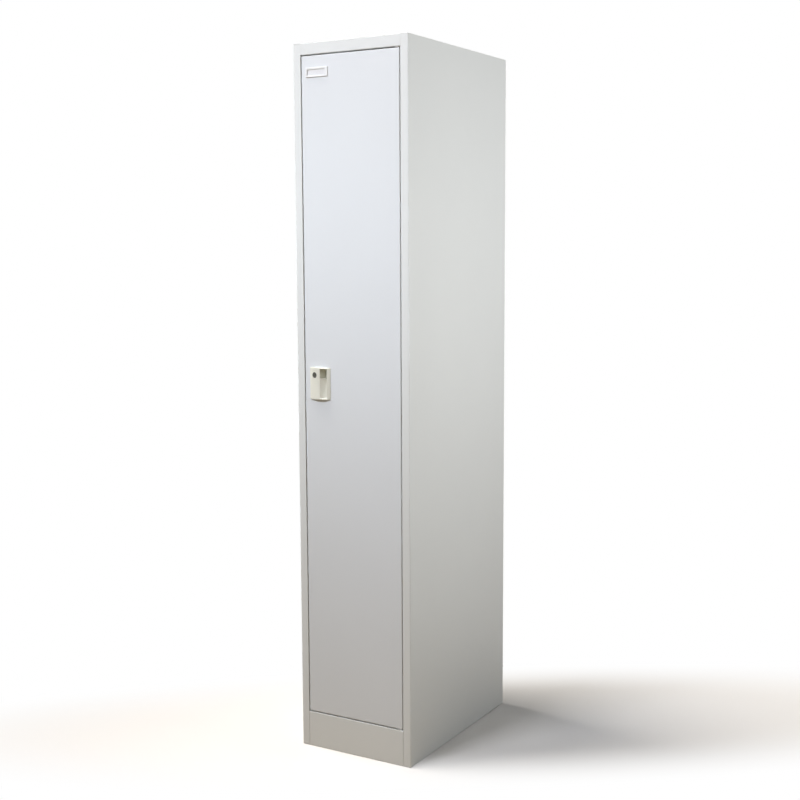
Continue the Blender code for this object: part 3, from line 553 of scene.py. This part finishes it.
FRAME_BEVEL = 0.0002  # how much the card frame's sharp edges are broken
SHEETS = (
    "top_panel", "back_panel", "floor_pan", "hat_shelf", "left_door_jamb", "right_door_jamb",
    "door_skin", "door_rib", "lock_side_channel", "hinge_side_channel", "left_shelf_rail", "right_shelf_rail",
    "floor_rib", "left_foot_angle", "right_foot_angle", "upper_hinge_plate", "lower_hinge_plate",
)
HARDWARE_BEVELS = {
    "lock_barrel": 0.0005, "lock_plug": 0.0003, "handle_retainer": 0.0004, "lock_nut": 0.0004,
    "lock_cam": 0.0003, "cam_washer": 0.0002, "cam_screw": 0.0004,
    "upper_pin_block": 0.0005, "lower_pin_block": 0.0005,
    "upper_hinge_pin": 0.0004, "lower_hinge_pin": 0.0004,
    "upper_hinge_bush": 0.0003, "lower_hinge_bush": 0.0003, "thrust_washer": 0.0002,
    "left_rod_socket": 0.0004, "right_rod_socket": 0.0004, "hanger_rod": 0.0004,
    "lower_door_buffer": 0.0006, "middle_door_buffer": 0.0006, "upper_door_buffer": 0.0006,
}

smooth_copy("left_side_panel", shape=raised_foot)
smooth_copy("right_side_panel", shape=raised_foot)
smooth_copy("kick_plate", shape=shorter_ends)
for node in SHEETS:
    smooth_copy(node)
fine_handle()
smooth_copy("name_card_frame", FRAME_BEVEL, sloped_frame)
for node, bevel in HARDWARE_BEVELS.items():
    smooth_copy(node, bevel)


# Floor and surroundings.

WHITE = (1.0, 1.0, 1.0, 1.0)
AMBIENT = 0.06  # strength of the even light
FLOOR_HALF = 12.0  # half the floor's width
FLOOR_COLOUR = (0.89, 0.86, 0.82, 1.0)  # the floor as it is seen, on the patch that shows the shadow
FLOOR_TONE = (0.335, 0.265, 0.175, 1.0)  # the floor as it lights the locker
FLOOR_TURN = math.radians(35)  # direction of the patch, along the shadow
FLOOR_SHIFT = (0.2, 0.14, 0.0)  # middle of the patch
FLOOR_REACH = (1.8, 0.45, 1.0)  # its half length and half width
FLOOR_CLEAR = 0.45  # share of the reach where the floor starts to turn white
FLOOR_WHITE = 1.0  # share of the reach where it is all white


def ray_kinds(tree, *kinds):
    """1 for rays of these kinds, and 0 for others."""
    path = tree.nodes.new("ShaderNodeLightPath")
    value = path.outputs[kinds[0]]
    for kind in kinds[1:]:
        either = tree.nodes.new("ShaderNodeMath")
        either.operation = "MAXIMUM"
        tree.links.new(value, either.inputs[0])
        tree.links.new(path.outputs[kind], either.inputs[1])
        value = either.outputs[0]
    return value


def mixed(tree, share, first, second):
    """A shader that goes from the first to the second as the share goes from 0 to 1."""
    mix = tree.nodes.new("ShaderNodeMixShader")
    for output, target in zip((share, first, second), mix.inputs):
        tree.links.new(output, target)
    return mix.outputs[0]


def diffuse(tree, colour):
    shader = tree.nodes.new("ShaderNodeBsdfDiffuse")
    shader.inputs["Color"].default_value = colour
    return shader.outputs[0]


def clear_patch(tree):
    """0 on the patch of the floor that shows the shadow, rising to 1 where the floor is white."""
    place = tree.nodes.new("ShaderNodeTexCoord")
    patch = tree.nodes.new("ShaderNodeMapping")
    patch.vector_type = "TEXTURE"
    patch.inputs["Location"].default_value = FLOOR_SHIFT
    patch.inputs["Rotation"].default_value = (0.0, 0.0, FLOOR_TURN)
    patch.inputs["Scale"].default_value = FLOOR_REACH
    tree.links.new(place.outputs["Object"], patch.inputs["Vector"])
    distance = tree.nodes.new("ShaderNodeVectorMath")
    distance.operation = "LENGTH"
    tree.links.new(patch.outputs["Vector"], distance.inputs[0])
    fade = tree.nodes.new("ShaderNodeMapRange")
    fade.interpolation_type = "SMOOTHSTEP"
    fade.inputs["From Min"].default_value = FLOOR_CLEAR
    fade.inputs["From Max"].default_value = FLOOR_WHITE
    tree.links.new(distance.outputs["Value"], fade.inputs["Value"])
    return fade.outputs["Result"]


def floor():
    """A pale floor that keeps the locker's shadow near it and runs out to white further off."""
    corners = [(-FLOOR_HALF, -FLOOR_HALF, 0), (FLOOR_HALF, -FLOOR_HALF, 0),
               (FLOOR_HALF, FLOOR_HALF, 0), (-FLOOR_HALF, FLOOR_HALF, 0)]
    mesh = new_mesh("floor", corners, [(0, 1, 2, 3)])
    piece = placed("floor", mesh)
    material = bpy.data.materials.new("floor")
    material.use_nodes = True
    tree = material.node_tree
    tree.nodes.remove(tree.nodes["Principled BSDF"])
    white = tree.nodes.new("ShaderNodeEmission")
    white.inputs["Strength"].default_value = 1.0
    shown = mixed(tree, clear_patch(tree), diffuse(tree, FLOOR_COLOUR), white.outputs[0])
    seen = ray_kinds(tree, "Is Camera Ray", "Is Glossy Ray")
    surface = mixed(tree, seen, diffuse(tree, FLOOR_TONE), shown)
    tree.links.new(surface, tree.nodes["Material Output"].inputs["Surface"])
    mesh.materials.append(material)


def world():
    """White where it is seen or mirrored, and a low even light everywhere else."""
    sky = bpy.data.worlds.new("studio")
    scene.world = sky
    sky.use_nodes = True
    tree = sky.node_tree
    ambient = tree.nodes["Background"]
    white = tree.nodes.new("ShaderNodeBackground")
    for background, strength in ((ambient, AMBIENT), (white, 1.0)):
        background.inputs["Color"].default_value = WHITE
        background.inputs["Strength"].default_value = strength
    seen = ray_kinds(tree, "Is Camera Ray", "Is Glossy Ray", "Is Transmission Ray")
    surface = mixed(tree, seen, ambient.outputs[0], white.outputs[0])
    tree.links.new(surface, tree.nodes["World Output"].inputs["Surface"])


# Lamps.

FRONT_LAMPS = {"at": (-0.55, -2.3, 2.55), "size": (0.8, 0.45)}  # what both front lamps share
COOL = (0.92, 0.95, 1.0)


def lamp_object(name, kind, power, colour, direction):
    """A lamp that shines along the given direction."""
    lamp = bpy.data.lights.new(name, kind)
    lamp.energy = power
    lamp.color = colour
    piece = placed(name, lamp)
    piece.rotation_euler = direction.to_track_quat("-Z", "Y").to_euler()
    return piece


def softbox(name, at, aim, size, power, colour, spread=180.0):
    """A rectangular soft lamp that faces the aim point. Its spread is in degrees."""
    piece = lamp_object(name, "AREA", power, colour, Vector(aim) - Vector(at))
    piece.location = at
    piece.data.shape = "RECTANGLE"
    piece.data.size, piece.data.size_y = size
    piece.data.spread = math.radians(spread)


def sun(name, toward, power, colour, width):
    """A broad far lamp, so many degrees wide."""
    piece = lamp_object(name, "SUN", power, colour, Vector(toward))
    piece.data.angle = math.radians(width)


floor()
world()
softbox("front_top", aim=(0.0, -0.26, 1.3), power=15.3, colour=(1.0, 0.90, 0.90), **FRONT_LAMPS)
softbox("front_mid", aim=(0.0, -0.26, 1.2), power=5.3, colour=(0.78, 0.87, 1.0), spread=60.0, **FRONT_LAMPS)
softbox("side", at=(2.9, 0.45, 1.25), aim=(0.16, 0.0, 1.46), size=(1.2, 0.8),
        power=11.0, colour=(0.89, 0.935, 1.0), spread=80.0)
softbox("right", at=(2.5, -1.0, 2.15), aim=(0.05, -0.2, 1.08), size=(0.6, 0.6),
        power=0.82, colour=(1.0, 0.97, 0.95), spread=54.0)
softbox("back", at=(-0.9, 2.9, 1.1), aim=(0.0, 0.27, 1.5), size=(2.6, 2.0),
        power=7.0, colour=COOL, spread=80.0)
softbox("left", at=(-2.9, 0.5, 1.1), aim=(-0.16, 0.0, 1.5), size=(1.2, 1.0),
        power=5.5, colour=COOL, spread=90.0)
sun("top", toward=(0.34, 0.12, -0.93), power=2.5, colour=(1.0, 0.97, 0.93), width=24.0)


# Camera, fitted to the cabinet's corners. Its angles are in radians, its lens and sensor in millimetres.

CAMERA_AT = Vector((1.68467, -2.89489, 1.29610))
CAMERA_YAW = 0.530798
CAMERA_PITCH = -0.120518
CAMERA_ROLL = -0.0047705
CAMERA_LENS = 57.211
CAMERA_SENSOR = 36.0

ahead = Vector((-math.sin(CAMERA_YAW) * math.cos(CAMERA_PITCH),
                math.cos(CAMERA_YAW) * math.cos(CAMERA_PITCH),
                math.sin(CAMERA_PITCH)))
level = Vector((math.cos(CAMERA_YAW), math.sin(CAMERA_YAW), 0.0))
upward = level.cross(ahead)
across = math.cos(CAMERA_ROLL) * level + math.sin(CAMERA_ROLL) * upward
above = math.cos(CAMERA_ROLL) * upward - math.sin(CAMERA_ROLL) * level
lens = bpy.data.cameras.new("camera")
lens.sensor_width = CAMERA_SENSOR
lens.lens = CAMERA_LENS
camera = placed("camera", lens)
camera.matrix_world = Matrix.Translation(CAMERA_AT) @ Matrix((across, above, -ahead)).transposed().to_4x4()
scene.camera = camera
